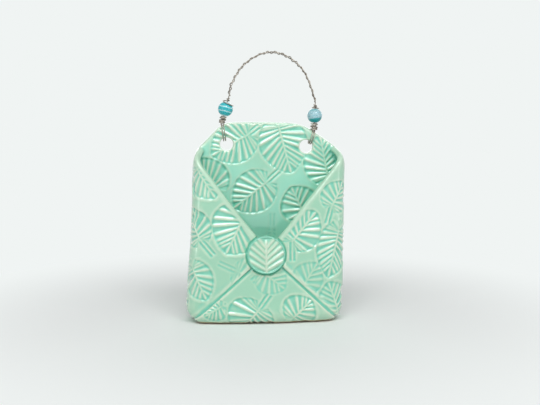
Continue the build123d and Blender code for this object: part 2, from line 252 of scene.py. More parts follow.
sideways = normals[:, [0, 2]]
sideways = sideways / np.maximum(np.linalg.norm(sideways, axis=1), LEAST_SIDEWAYS)[:, None]
around_fold = ROUND_A_FOLD * np.minimum(behind_front, FOLD) + np.maximum(behind_front - FOLD, 0)
flat_u = x + sideways[:, 0] * around_fold
flat_v = z + sideways[:, 1] * around_fold
print("laid flat, mm:", round(float(flat_u.min()), 1), "to", round(float(flat_u.max()), 1))

# %% A smooth step
def ease(value, start, end):
    """A smooth step from 0 at start to 1 at end."""
    part = np.clip((value - start) / (end - start), 0, 1)
    return part * part * (3 - 2 * part)


# %% Sort the points
SLAB_Y = 8.25
CUT_Y = 7.0
POCKET_Y = -2.0
POCKET_REACH = 45.0
MOUTH_BOTTOM = 57.0
LEFT_MOUTH_SLOPE = 1.18
RIGHT_MOUTH_SLOPE = 1.11
MOUTH_RISE = 0.8
PRINTS_END_Y = 2.0
BARE_RIM = (1.2, 3.5)
FACING_FRONT = (0.7, 0.97)
SLAB_FRONT = (CUT_Y - 0.5, SLAB_Y + 1.5)

pocket_x = np.clip(x, -POCKET_REACH, POCKET_REACH)
pocket_middle = np.stack([pocket_x, np.full_like(x, POCKET_Y), z], axis=1)
outwards = ((places - pocket_middle) * normals).sum(1)
mouth_slope = np.where(x < 0, LEFT_MOUTH_SLOPE, RIGHT_MOUTH_SLOPE)
mouth_height = MOUTH_BOTTOM + mouth_slope * np.abs(x) + MOUTH_RISE * (y - FRONT_Y)
under_mouth = (mouth_height - z) / np.sqrt(1 + mouth_slope**2 + MOUTH_RISE**2)

on_flaps = (outwards > 0) & (y < CUT_Y)
flap_weight = np.where(on_flaps, (1 - ease(y, PRINTS_END_Y, CUT_Y)) * ease(under_mouth, *BARE_RIM), 0)
on_slab = (y > SLAB_FRONT[0]) & (y < SLAB_FRONT[1])
slab_weight = np.where(on_slab, ease(-normals[:, 1], *FACING_FRONT), 0)
print("points on flaps:", int(on_flaps.sum()), " on the slab's front:", int(slab_weight.sum()))

# %% [markdown]
# ## Pressed leaves
#
# A leaf pressed into clay leaves a shallow bed with a steep wall. Its veins stand up in the bed as
# rounded ribs, and the stalk leaves a short groove with a rib along it. Painting this as bump would
# look flat from the side, so the clay itself is moved.
#
# One formula makes every leaf: a broad blade that is widest near the stalk, with two round lobes, a
# point at the far end, and straight veins that fan out at the base and close up towards the tip.

# %% Shape of the blade
WIDEST = 0.34
LOBE = -0.2
TIP_POWER = 0.8
STEEPEST = 2.5
NOTCH_SLOPE = 1.1
NOTCH_SCALE = 1.5
SMALL_PART = 0.02


def blade_half_width(part, width):
    """Half the blade's width at a part of its length, 0 at the stalk and 1 at the tip."""
    front = np.clip((part - WIDEST) / (1 - WIDEST), 0, 1)
    back = np.clip((WIDEST - part) / (WIDEST - LOBE), 0, 1)
    return width / 2 * np.where(part > WIDEST, (1 - front**2) ** TIP_POWER, np.sqrt(1 - back**2))


def inside_blade(along, off, length, width):
    """How far a point lies inside the blade's edge, in mm, and below 0 outside it."""
    part = along / length
    half = blade_half_width(part, width)
    beyond = blade_half_width(part + SMALL_PART, width)
    before = blade_half_width(part - SMALL_PART, width)
    slope = np.clip((beyond - before) / (2 * SMALL_PART * length), -STEEPEST, STEEPEST)
    inside = (half - off) / np.sqrt(1 + slope**2)
    notch = (off + NOTCH_SLOPE * along) / NOTCH_SCALE
    inside = np.where(along < 0, np.minimum(inside, notch), inside)
    inside = np.where(part > 1, -np.hypot(off, along - length), inside)
    return np.where(part < LOBE, -np.hypot(off, along - LOBE * length), inside)


print("half way to the tip, half a blade 1 mm wide is, mm:", round(float(blade_half_width(0.5, 1.0)), 2))

# %% Veins of the blade
MIDRIB_WIDTH = 1.2
VEIN_WIDTH = 1.5
VEIN_AT_START = 0.6
VEIN_GROWTH = 0.4
GROWN_AT = 9
VEIN_START = (-0.3, 0.9)
VEIN_SPACING = 4.2
FEWEST_VEINS = 6
VEINS_OVER = 0.85
VEIN_CROWDING = 1.5
TIP_ANGLE = 36
FAN_ANGLE = 62
FAN = 0.25
FAN_POWER = 1.3
LOBE_ANGLE = 122
SHAKE = 3


def rib_at(apart, width):
    """A rounded rib, 1 on its middle line and 0 away from it."""
    return np.exp(-((apart / width) ** 2))


def leaf_veins(along, aside, length, shake):
    """The midrib and the veins on both sides, as ribs from 0 to 1."""
    off = np.abs(aside)
    ribs = rib_at(off, MIDRIB_WIDTH) * (along > -0.5)
    count = max(FEWEST_VEINS, round(length / VEIN_SPACING))
    starts = [VEINS_OVER * (k / count) ** VEIN_CROWDING for k in range(count)]
    angles = [TIP_ANGLE + FAN_ANGLE * exp(-((start / FAN) ** FAN_POWER)) for start in starts]
    for turned in (1, -1):
        for start, angle in zip([0.0] + starts, [LOBE_ANGLE] + angles):
            angle = radians(angle + shake.uniform(-SHAKE, SHAKE))
            from_start = along - start * length
            reach = from_start * cos(angle) + off * sin(angle)
            apart = np.abs(off * cos(angle) - from_start * sin(angle))
            width = VEIN_WIDTH * (VEIN_AT_START + VEIN_GROWTH * ease(reach, 0, GROWN_AT))
            vein = rib_at(apart, width) * ease(reach, *VEIN_START)
            ribs = np.maximum(ribs, np.where(aside * turned >= 0, vein, 0))
    return ribs


# %% Press one leaf
BED_DEPTH = 1.1
BED_WALL = 1.0
LIP = 0.2
LIP_PLACE = 1.4
LIP_WIDTH = 1.2
EDGE_PLACE = 0.4
EDGE_WIDTH = 1.3
RIB_AT_EDGE = 0.6
RIB_GROWTH = 0.35
RIB_RISE = (0.2, 2.2)
STALK_BED = 2.2
STALK_RIB = 0.95


def along_and_aside(u, v, start, end):
    """Places measured along a line and across it, and the line's length."""
    length = hypot(end[0] - start[0], end[1] - start[1])
    run = ((end[0] - start[0]) / length, (end[1] - start[1]) / length)
    along = (u - start[0]) * run[0] + (v - start[1]) * run[1]
    aside = (v - start[1]) * run[0] - (u - start[0]) * run[1]
    return along, aside, length


def press_leaf(u, v, stalk, tip, width, stalk_end, number):
    """How far a leaf moves the clay at points u, v of the flat slab, in mm, and where its edge is."""
    along, aside, length = along_and_aside(u, v, stalk, tip)
    inside = inside_blade(along, np.abs(aside), length, width)
    ribs = leaf_veins(along, aside, length, np.random.default_rng(number))
    bed = ease(inside, -BED_WALL, BED_WALL)
    edge = rib_at(inside + EDGE_PLACE, EDGE_WIDTH) * (1 - ribs)
    ribs = ribs * (RIB_AT_EDGE + RIB_GROWTH * ease(inside, *RIB_RISE))
    lip = LIP * rib_at(inside + LIP_PLACE, LIP_WIDTH)
    pressed = -BED_DEPTH * bed * (1 - ribs) + lip
    if stalk_end:
        down, across, stalk_length = along_and_aside(u, v, stalk, stalk_end)
        groove = ease(STALK_BED - np.abs(across), -BED_WALL, BED_WALL)
        groove *= ease(down, -1, 1) * ease(stalk_length - down, -BED_WALL, BED_WALL)
        stalk_rib = STALK_RIB * rib_at(np.abs(across), MIDRIB_WIDTH)
        pressed = np.minimum(pressed, -BED_DEPTH * groove * (1 - stalk_rib) * (1 - bed))
    return pressed, edge


# %% [markdown]
# The leaves were laid on at all angles, some running over an edge. Each is given by where its stalk
# meets the blade, its tip, its width, the end of its stalk if it has one, and how deep it is, all in
# millimetres on the flat slab.

# %% Lay out the leaves
SLAB_LEAVES = [
    ((-14, 154), (-45, 136), 36, (-5, 161), 1.0),
    ((11, 161), (22, 121), 41, (9, 167), 1.0),
    ((53, 118), (46, 154), 37, (55, 111), 1.0),
    ((1, 114), (-27, 92), 36, (12, 124), 1.0),
    ((-40, 109), (-57, 134), 31, None, 1.0),
    ((33, 87), (22, 110), 33, None, 0.9),
    ((6, 76), (4, 58), 7, (6, 88), 0.35),
]
FLAP_LEAVES = [
    ((-58, 128), (-42, 103), 30, None, 0.8),
    ((-55, 70), (-69, 95), 29, (-44, 57), 1.0),
    ((-18, 91), (-34, 58), 45, None, 1.0),
    ((-25, 44), (-4, 35), 30, (-40, 51), 0.4),
    ((-62, 47), (-50, 20), 27, None, 0.8),
    ((20, 68), (40, 92), 35, (20, 52), 1.0),
    ((53, 96), (64, 116), 28, (49, 82), 0.9),
    ((59, 76), (50, 37), 31, None, 1.0),
    ((28, 30), (41, 50), 27, None, 0.5),
    ((60, 6), (50, 34), 33, None, 0.7),
    ((-86, 62), (-80, 92), 28, (-88, 50), 0.9),
    ((-78, 12), (-86, 40), 28, None, 0.9),
    ((84, 76), (86, 108), 28, (82, 64), 0.9),
    ((80, 18), (88, 48), 28, None, 0.9),
]
BOTTOM_LEAVES = [
    ((-38, 16), (-52, 7), 20, None, 0.9),
    ((-8, 13), (-26, -10), 42, (1, 25), 1.0),
    ((-4, 43), (14, 29), 28, (-13, 36), 0.5),
    ((20, 5), (36, 20), 31, None, 1.0),
]


def press_leaves(u, v, leaves, first_number):
    """All the leaves of one slab, and their edges. Where two cross, the deeper print stays."""
    deepest = np.zeros(point_count)
    edges = np.zeros(point_count)
    for number, (stalk, tip, width, stalk_end, depth) in enumerate(leaves, first_number):
        leaf, edge = press_leaf(u, v, stalk, tip, width, stalk_end, number)
        deepest = np.where(np.abs(depth * leaf) > np.abs(deepest), depth * leaf, deepest)
        edges = np.maximum(edges, edge)
    return np.stack([deepest, edges])


slab_print = press_leaves(x, z, SLAB_LEAVES, 0)
side_print = press_leaves(flat_u, flat_v, FLAP_LEAVES, 20)
bottom_print = press_leaves(flat_u, flat_v, BOTTOM_LEAVES, 40)
flap_print = np.where(past_seam > 0, side_print, bottom_print) * ease(np.abs(past_seam), 0.5, 2.5)
leaf_print, leaf_edge = slab_weight * slab_print + flap_weight * flap_print
print("deepest print, mm:", round(float(leaf_print.min()), 2))

# %% [markdown]
# ## Marks of the hand
#
# Nothing on a slab pot is quite flat. Slow waves, each a sine in its own direction, move the skin by
# a few tenths of a millimetre. The side flaps lie over the bottom flap, so a groove follows each
# seam, and the flap beside it is a little swollen. A ring is pressed in round the seal. A displace
# modifier with a noise would do for the waves, but here they and the leaves are one move.

# %% Make slow waves
WAVES = 7
WAVE_HEIGHT = 0.09
WAVE_LENGTHS = (24, 60)

wave_rng = np.random.default_rng(5)
waves = np.zeros(point_count)
for _ in range(WAVES):
    direction = wave_rng.normal(size=3)
    direction /= np.linalg.norm(direction)
    wave_length = wave_rng.uniform(*WAVE_LENGTHS)
    start = wave_rng.uniform(0, 2 * pi)
    waves += WAVE_HEIGHT * np.sin(2 * pi * (places @ direction) / wave_length + start)
print("highest wave, mm:", round(float(waves.max()), 2))

# %% Shape the hand marks
SEAL_MIDDLE = (-1.5, 57.5)
SEAL_RADIUS = 15.4
RING_DEPTH = 1.2
RING_PLACE = 0.3
RING_WIDTH = 0.9
GROOVE_DEPTH = 1.5
GROOVE_PLACE = 0.4
GROOVE_WIDTH = 0.8
LEFT_SWELL = 0.45
MORE_ON_THE_RIGHT = 0.65
RIGHT_FROM = (3, 12)
CLEAR_OF_SEAL = (8, 14)
SWELL_PLACE = 2.0
SWELL_WIDTH = 1.9
STILL_FOOT = (0.5, 4.0)

from_seal = np.hypot(x - SEAL_MIDDLE[0], z - SEAL_MIDDLE[1])
ring_line = rib_at(from_seal - SEAL_RADIUS - RING_PLACE, RING_WIDTH)
seam_line = rib_at(past_seam + GROOVE_PLACE, GROOVE_WIDTH)
seal_ring = -RING_DEPTH * ring_line
seam_groove = -GROOVE_DEPTH * seam_line
swell = LEFT_SWELL + MORE_ON_THE_RIGHT * ease(x, *RIGHT_FROM)
flap_edge = swell * rib_at(past_seam - SWELL_PLACE, SWELL_WIDTH) * ease(from_seal, *CLEAR_OF_SEAL)
on_front = on_flaps & (behind_front < FOLD)
hand = waves + np.where(on_front, np.minimum(seal_ring, seam_groove) + flap_edge, 0)
hand *= ease(z, *STILL_FOOT)

places = places + normals * (leaf_print + hand)[:, None]
places[:, 2] = np.maximum(places[:, 2], 0)
normals = write_places(spread(places, 1))
places = read_places()
print("shaped clay, mm:", np.round(places.min(0), 1), np.round(places.max(0), 1))

# %% [markdown]
# ## Where the glaze runs thin
#
# A melted glaze draws back from ridges and edges, where the pale clay shows through, and gathers in
# hollows, where it looks darker. The height of each point over the blurred skin says which it is:
# above it is a ridge, below it is a hollow. The renderer's own Pointiness tells them apart too, but an
# exported model would lose it.
#
# The glaze stays more even over the rims and the edges of the leaves, which are rounder than the ribs,
# and the creases of the seams and round the seal are the darkest: glaze gathers there, and painted
# shade stands for the shade that falls in them. On the plain clay inside the mouth the colour is a
# lighter turquoise: glaze gathered there as a thick layer, and painted light that lifts the shade of
# the pocket. The thinness and this colour of the pocket are kept on the mesh as two attributes that
# the material reads.

# %% Measure ridges and hollows
NEAR_ROUNDS = 14
WIDE_ROUNDS = 60
DEEPEST_HOLLOW = -1.2
HIGHEST_SWELL = 0.3
RIM_WIDTH = 3.0
RIM_TURN = (0.4, 0.9)
EVEN_ON_RIMS = 0.6
EVEN_ON_EDGES = 0.7

near_blur = spread(places, NEAR_ROUNDS)
wide_blur = spread(near_blur, WIDE_ROUNDS)
ridge_height = ((places - near_blur) * normals).sum(1)
broad_height = ((places - wide_blur) * normals).sum(1)
broad_height = np.clip(broad_height, DEEPEST_HOLLOW, HIGHEST_SWELL)
rim = np.where(y < CUT_Y, rib_at(under_mouth, RIM_WIDTH), 1 - ease(-normals[:, 1], *RIM_TURN))
even_glaze = np.maximum(EVEN_ON_EDGES * leaf_edge, EVEN_ON_RIMS * rim)
ridge_height = np.where(ridge_height > 0, ridge_height * (1 - even_glaze), ridge_height)
print("highest ridge, mm:", round(float(ridge_height.max()), 2))

# %% Measure the glaze
PLAIN_THINNESS = 0.45
ON_RIDGES = 1.7
ON_SWELLS = 0.22
CREASE_POOL_AND_SHADE = 0.5
IN_THE_POOL = 0.05
POCKET_POOL_AND_LIGHT_SHARE = 0.65
PLAIN_CLAY_FALLOFF = 5
POCKET_MASK_REACH = (-45, 5)
POCKET_MASK_FACING = (0.8, 1.0)

# Painted shade: the creases of the seams and round the seal are darkened, partly as gathered glaze and
# partly for the shade that falls in them.
crease_pool_and_shade_mask = np.where(on_front, np.maximum(seam_line, ring_line), 0)
# The plain clay inside the mouth, facing the front. There the thinness is lowered like gathered glaze,
# and the colour is lifted to a light turquoise as painted light against the pocket's shade.
in_pocket = ease(under_mouth, *POCKET_MASK_REACH) * ease(-normals[:, 1], *POCKET_MASK_FACING)
pocket_pool_and_light_mask = np.where(on_slab, in_pocket, 0)
thinness = PLAIN_THINNESS + ON_RIDGES * ridge_height + ON_SWELLS * broad_height
thinness -= CREASE_POOL_AND_SHADE * crease_pool_and_shade_mask + IN_THE_POOL * pocket_pool_and_light_mask
thinness = spread(np.clip(thinness, 0, 1), 1)
on_plain_clay = np.clip(1 - PLAIN_CLAY_FALLOFF * np.abs(ridge_height), 0, 1)
# Painted light: the share of the light turquoise on the plain clay in the mouth, partly the colour of
# thick glaze.
pocket_pool_and_light = spread(POCKET_POOL_AND_LIGHT_SHARE * pocket_pool_and_light_mask * on_plain_clay, 2)
for name, values in (("thin_glaze", thinness), ("pocket_glaze_and_light", pocket_pool_and_light)):
    clay_skin.attributes.new(name, "FLOAT", "POINT").data.foreach_set("value", values)
print("glaze thinness, lowest tenth and highest tenth:", np.round(np.percentile(thinness, [10, 90]), 2))

# %% [markdown]
# ## Cut the clay into its pieces
#
# The body is cut again where the slabs meet: the flaps part from the back slab, and the bottom flap
# from the sides along the seams. Each cut is closed with triangles, so that every piece is a whole
# solid, and its border is marked sharp, so that the shading runs on over the cut. A boolean could cut
# the clay too, but a plane leaves the same border on both sides.

# %% A helper to cut the clay
NEAR_CUT = 1e-7


def cut_clay(piece_name, cuts):
    """A closed piece of the clay body. Each cut is a point of a plane and the way that is cut off."""
    piece = bmesh.new()
    piece.from_mesh(clay_skin)
    for point, away in cuts:
        everything = piece.verts[:] + piece.edges[:] + piece.faces[:]
        plane = {"plane_co": Vector(point) * MM, "plane_no": away, "clear_outer": True}
        cut = bmesh.ops.bisect_plane(piece, geom=everything, dist=NEAR_CUT, **plane)
        border = [part for part in cut["geom_cut"] if isinstance(part, bmesh.types.BMEdge)]
        border = [edge for edge in border if edge.is_boundary]
        filled = bmesh.ops.triangle_fill(piece, use_beauty=True, edges=border)
        for edge in border:
            edge.smooth = False
        for part in filled["geom"]:
            if isinstance(part, bmesh.types.BMFace):
                part.normal_update()
                if part.normal.dot(Vector(away)) < 0:
                    part.normal_flip()
    for face in piece.faces:
        face.smooth = True
    faults = sum(not edge.is_contiguous for edge in piece.edges)
    print(piece_name, len(piece.faces), "faces, edges that don't join two of them well:", faults)
    return new_piece(piece, piece_name + "_clay")


# %% Cut the pieces
BEHIND = ((0, CUT_Y, 0), (0, 1, 0))
IN_FRONT = ((0, CUT_Y, 0), (0, -1, 0))
OVER_LEFT_SEAM = ((0, 0, SEAM_TOP), (-LEFT_SEAM_SLOPE, 0, 1))
OVER_RIGHT_SEAM = ((0, 0, SEAM_TOP), (RIGHT_SEAM_SLOPE, 0, 1))
UNDER_LEFT_SEAM = ((0, 0, SEAM_TOP), (LEFT_SEAM_SLOPE, 0, -1))
UNDER_RIGHT_SEAM = ((0, 0, SEAM_TOP), (-RIGHT_SEAM_SLOPE, 0, -1))
CLAY_CUTS = {
    "back_slab": [IN_FRONT],
    "left_flap": [BEHIND, ((0, 0, 0), (1, 0, 0)), UNDER_LEFT_SEAM],
    "right_flap": [BEHIND, ((0, 0, 0), (-1, 0, 0)), UNDER_RIGHT_SEAM],
    "bottom_flap": [BEHIND, OVER_LEFT_SEAM, OVER_RIGHT_SEAM],
}
clay_pieces = {}
for piece_name, cuts in CLAY_CUTS.items():
    piece = cut_clay(piece_name, cuts)
    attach(piece, "vase")
    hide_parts(piece_name)
    clay_pieces[piece_name] = piece
print("cut:", list(clay_pieces))

# %% [markdown]
# ## The leaf seal
#
# The seal is a button of clay pressed on where the flaps meet, with one leaf standing in it. A round
# grid of points is easy to shape: each ring is a step further out, and a formula gives every point
# its height. The edge is a quarter round, and the last ring goes down behind the flaps' face.

# %% Shape of the seal
SEAL_THICK = 4.5
SEAL_EDGE = 1.6
SEAL_ROOT = -2.4
SEAL_BED = 1.3
SEAL_MARGIN = (0.6, 1.9)
SEAL_CROWN = 0.003
SEAL_RIB = 1.5
SEAL_RIB_HEIGHT = 0.95
MIDRIB_END = (-13.0, -10.0)
SEAL_PAIRS = 5
FIRST_PAIR = -0.8
PAIR_STEP = 0.29
FIRST_SLANT = 30
SLANT_STEP = 5


def seal_leaf(u, v):
    """The leaf's ribs, 1 on the midrib or a vein and 0 between them."""
    ribs = rib_at(u, SEAL_RIB) * ease(-v, *MIDRIB_END)
    for pair in range(SEAL_PAIRS):
        start = SEAL_RADIUS * (PAIR_STEP * pair + FIRST_PAIR)
        slant = radians(FIRST_SLANT + SLANT_STEP * pair)
        reach = np.abs(u) * cos(slant) + (v - start) * sin(slant)
        apart = (v - start) * cos(slant) - np.abs(u) * sin(slant)
        ribs = np.maximum(ribs, rib_at(apart, SEAL_RIB) * ease(reach, *VEIN_START))
    return ribs


def seal_height(u, v):
    """Height of the seal's face over the flaps."""
    far = np.hypot(u, v)
    into_edge = np.clip(far - SEAL_RADIUS + SEAL_EDGE, 0, SEAL_EDGE)
    edge_drop = SEAL_EDGE - np.sqrt(SEAL_EDGE**2 - into_edge**2)
    bed = SEAL_BED * ease(SEAL_RADIUS - far, *SEAL_MARGIN)
    sunk = bed * (1 - SEAL_RIB_HEIGHT * seal_leaf(u, v))
    return SEAL_THICK - SEAL_CROWN * far**2 - edge_drop - sunk


print("seal at its middle, mm:", round(float(seal_height(0, 0)), 2))

# %% Points of the seal
RING_STEP = 0.3
AROUND = 180
SEAL_THINNESS = 0.24
ON_SEAL_RIBS = 0.58

ring_count = round(SEAL_RADIUS / RING_STEP)
turn = np.arange(AROUND) * 2 * pi / AROUND
ring = np.linspace(0, SEAL_RADIUS, ring_count + 1)[1:]
seal_u = np.outer(ring, np.cos(turn))
seal_v = np.outer(ring, np.sin(turn))
seal_h = seal_height(seal_u, seal_v)
seal_margin = ease(SEAL_RADIUS - ring, *SEAL_MARGIN)[:, None]
seal_thin_glaze = SEAL_THINNESS + ON_SEAL_RIBS * seal_leaf(seal_u, seal_v) * seal_margin
print("seal points:", seal_h.shape)

# %% Place the seal
seal_y = FRONT_Y + SEAL_MIDDLE[1] * tan(SIDE_LEAN)
seal_middle = Vector((SEAL_MIDDLE[0], seal_y, SEAL_MIDDLE[1]))
seal_front = Vector((0, -cos(SIDE_LEAN), sin(SIDE_LEAN)))
seal_up = Vector((0, sin(SIDE_LEAN), cos(SIDE_LEAN)))


def seal_place(u, v, height):
    """A point of the seal in the vase's own frame, leaning with the flaps."""
    return (seal_middle + Vector((u, 0, 0)) + seal_up * v + seal_front * height) * MM


print("middle of the seal, mm:", [round(value, 1) for value in seal_middle])

# %% Build the seal
IN_THE_MIDDLE = 0.9
SHARP_ANGLE = radians(60)

seal_build = bmesh.new()
seal_thin = seal_build.verts.layers.float.new("thin_glaze")
middle_point = seal_build.verts.new(seal_place(0, 0, float(seal_height(0, 0))))
middle_point[seal_thin] = IN_THE_MIDDLE
rings = []
for ring_u, ring_v, ring_h, ring_thin in zip(seal_u, seal_v, seal_h, seal_thin_glaze):
    rings.append([seal_build.verts.new(seal_place(*spot)) for spot in zip(ring_u, ring_v, ring_h)])
    for vert, thin in zip(rings[-1], ring_thin):
        vert[seal_thin] = thin
behind = [seal_place(u, v, SEAL_ROOT) for u, v in zip(seal_u[-1], seal_v[-1])]
rings.append([seal_build.verts.new(place) for place in behind])
for step in range(AROUND):
    after = (step + 1) % AROUND
    seal_build.faces.new((middle_point, rings[0][step], rings[0][after]))
    for inner, outer in zip(rings, rings[1:]):
        seal_build.faces.new((inner[step], outer[step], outer[after], inner[after]))
seal_build.faces.new(rings[-1][::-1])
bmesh.ops.recalc_face_normals(seal_build, faces=seal_build.faces[:])
for face in seal_build.faces:
    face.smooth = len(face.verts) < 5
for edge in seal_build.edges:
    edge.smooth = edge.calc_face_angle(0) < SHARP_ANGLE
seal = new_piece(seal_build, "leaf_seal_clay")
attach(seal, "vase")
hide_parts("leaf_seal")
print("seal:", len(seal.data.polygons), "faces")

# %% [markdown]
# ## Celadon glaze
#
# The glaze is clear green glass over pale clay: cream where it is thin, mint over the flats and
# blue-green where it pools. A colour ramp on the `thin_glaze` attribute gives these, a slow noise
# makes the mint uneven, and a fine one breaks the ridges up. The ramp's darkest colour is met in the
# creases, as gathered glaze and painted shade. The pocket's attribute mixes in a light turquoise on
# the plain clay inside the mouth: the colour of the thick layer there, and painted light that lifts
# the pocket's shade. A painted picture would have to be fitted to the relief, while the attributes
# already follow it.
#
# Near the foot the glaze is wiped off and the bare buff clay shows. The shine is that of glass: low
# roughness, a clear coat and a very slight ripple.

# %% Colours for a shader
def from_srgb(red, green, blue):
    """A colour as a screen shows it, 0 to 255, as the linear colour that a shader takes."""
    parts = [value / 255 for value in (red, green, blue)]
    linear = [part / 12.92 if part <= 0.04045 else ((part + 0.055) / 1.055) ** 2.4 for part in parts]
    return (*linear, 1.0)


# %% Helpers for finishes
def new_finish(name):
    """A material with its nodes, its links and its main shader."""
    finish = bpy.data.materials.new(name)
    finish.use_nodes = True
    graph = finish.node_tree
    shader = graph.nodes["Principled BSDF"]
    return finish, graph.nodes, graph.links, shader


def fill(links, node, values):
    """Gives inputs of a node their values, or the outputs of other nodes."""
    for key, value in values.items():
        if isinstance(value, bpy.types.NodeSocket):
            links.new(value, node.inputs[key])
        else:
            node.inputs[key].default_value = value


def attribute(nodes, name):
    """A node that reads an attribute of the mesh."""
    reader = nodes.new("ShaderNodeAttribute")
    reader.attribute_name = name
    return reader


# %% Helpers for numbers
def calculate(nodes, links, operation, *terms):
    """The result of a Math node on numbers or outputs of other nodes."""
    step = nodes.new("ShaderNodeMath")
    step.operation = operation
    fill(links, step, dict(enumerate(terms)))
    return step.outputs[0]


def rescaled(nodes, links, value, ends):
    """A Map Range node on a value, with those of its ends that aren't 0 and 1."""
    rescale = nodes.new("ShaderNodeMapRange")
    fill(links, rescale, {"Value": value, **ends})
    return rescale


# %% Helpers for colours
def noise(nodes, links, scale, detail, place):
    """A noise over places, in waves per unit of them."""
    texture = nodes.new("ShaderNodeTexNoise")
    fill(links, texture, {"Scale": scale, "Detail": detail, "Vector": place})
    return texture.outputs["Fac"]


def colour_ramp(nodes, links, share, stops, interpolation="EASE"):
    """The colour at a share, on a ramp through colours at the given places."""
    ramp = nodes.new("ShaderNodeValToRGB")
    ramp.color_ramp.interpolation = interpolation
    while len(ramp.color_ramp.elements) < len(stops):
        ramp.color_ramp.elements.new(0.5)
    for element, (place, colour) in zip(ramp.color_ramp.elements, stops):
        element.position = place
        element.color = colour
    links.new(share, ramp.inputs["Fac"])
    return ramp.outputs["Color"]


def between_colours(nodes, links, share, first, second):
    """The first colour where the share is 0, and the second where it is 1."""
    mix = nodes.new("ShaderNodeMix")
    mix.data_type = "RGBA"
    fill(links, mix, {"Factor": share, "A": first, "B": second})
    return mix.outputs["Result"]


# %% Colour of the glaze
# The darkest of these colours is met in the creases: glaze gathered there, and painted shade.
GLAZE_COLOURS = [
    (0.02, from_srgb(66, 140, 116)),
    (0.14, from_srgb(106, 199, 173)),
    (0.38, from_srgb(130, 207, 181)),
    (0.58, from_srgb(157, 210, 181)),
    (0.80, from_srgb(186, 220, 194)),
    (1.0, from_srgb(210, 226, 203)),
]
# A light turquoise for the mouth: the colour of thick glaze, lightened as painted light against the
# pocket's shade.
POCKET_POOL_AND_LIGHT_COLOUR = from_srgb(156, 236, 212)
SLOW_SHARE = 0.16
FINE_SHARE = 0.10

glaze, nodes, links, shader = new_finish("celadon_glaze")
spot = nodes.new("ShaderNodeTexCoord").outputs["Object"]
thin = attribute(nodes, "thin_glaze").outputs["Fac"]
slow = noise(nodes, links, 28.0, 2.0, spot)
fine = noise(nodes, links, 420.0, 3.0, spot)
varied = calculate(nodes, links, "MULTIPLY_ADD", slow, SLOW_SHARE, thin)
varied = calculate(nodes, links, "MULTIPLY_ADD", fine, FINE_SHARE, varied)
plain_colour = colour_ramp(nodes, links, varied, GLAZE_COLOURS)
# Painted light: inside the mouth the colour is mixed towards a light turquoise that lifts the pocket's
# shade.
thick = attribute(nodes, "pocket_glaze_and_light").outputs["Fac"]
glaze_colour = between_colours(nodes, links, thick, plain_colour, POCKET_POOL_AND_LIGHT_COLOUR)
print("glaze colours:", len(GLAZE_COLOURS))

# %% Wipe the foot
BARE_CLAY = from_srgb(176, 150, 112)
FOOT_BARE = 0.4 * MM
FOOT_GLAZED = 2.2 * MM
FOOT_WAVE = -1.2 * MM

height = nodes.new("ShaderNodeSeparateXYZ")
links.new(spot, height.inputs[0])
wavy = noise(nodes, links, 90.0, 2.0, spot)
uneven = calculate(nodes, links, "MULTIPLY_ADD", wavy, FOOT_WAVE, height.outputs["Z"])
foot_line = rescaled(nodes, links, uneven, {"From Min": FOOT_BARE, "From Max": FOOT_GLAZED})
glazed = foot_line.outputs["Result"]
clay_colour = between_colours(nodes, links, glazed, BARE_CLAY, glaze_colour)
print("glazed from, mm:", round(FOOT_GLAZED / MM, 1))

# %% Shine of the glaze
gloss = rescaled(nodes, links, glazed, {"To Min": 0.75, "To Max": 0.07})
peel = noise(nodes, links, 260.0, 1.0, spot)
ripple = nodes.new("ShaderNodeBump")
fill(links, ripple, {"Strength": 0.08, "Distance": 0.3 * MM, "Height": peel})
fill(links, shader, {
    "Base Color": clay_colour,
    "Roughness": gloss.outputs["Result"],
    "Normal": ripple.outputs["Normal"],
    "IOR": 1.52,
    "Coat Roughness": 0.06,
    "Coat Weight": glazed,
})
for piece in [*clay_pieces.values(), seal]:
    piece.data.materials.append(glaze)
print("glazed:", len(clay_pieces) + 1, "pieces")

# %% [markdown]
# ## Bent wire
#
# The handle is soft steel wire, bent by hand. A curve with a round bevel would do, but a mesh tube
# can be checked point by point, and it closes its own ends. The helper walks along the points and
# carries a ring of the wire's section with it, turning it as little as possible.

# %% A tube of wire
WIRE_RADIUS = 0.45
WIRE_SIDES = 12
WIRE_TIP = 0.5


def wire_tube(name, path, radius=WIRE_RADIUS):
    """A closed tube round a path of points in millimetres."""
    path = [Vector(point) for point in path]
    tangents = [
        (path[min(k + 1, len(path) - 1)] - path[max(k - 1, 0)]).normalized() for k in range(len(path))
    ]
    side = tangents[0].orthogonal().normalized()
    build = bmesh.new()
    rings = []
    for point, tangent in zip(path, tangents):
        side = (side - tangent * side.dot(tangent)).normalized()
        other = tangent.cross(side)
        rings.append([
            build.verts.new((point + (side * cos(turn) + other * sin(turn)) * radius) * MM)
            for turn in (2 * pi * step / WIRE_SIDES for step in range(WIRE_SIDES))
        ])
    for before, after in zip(rings, rings[1:]):
        for step in range(WIRE_SIDES):
            follow = (step + 1) % WIRE_SIDES
            build.faces.new((before[step], before[follow], after[follow], after[step]))
    ends = ((rings[0], path[0], -tangents[0]), (rings[-1], path[-1], tangents[-1]))
    for ring, tip, tangent in ends:
        end = build.verts.new((tip + tangent * radius * WIRE_TIP) * MM)
        for step in range(WIRE_SIDES):
            build.faces.new((ring[step], ring[(step + 1) % WIRE_SIDES], end))
    bmesh.ops.recalc_face_normals(build, faces=build.faces[:])
    for face in build.faces:
        face.smooth = True
    return new_piece(build, name)


print("thickness of the wire, mm:", 2 * WIRE_RADIUS)

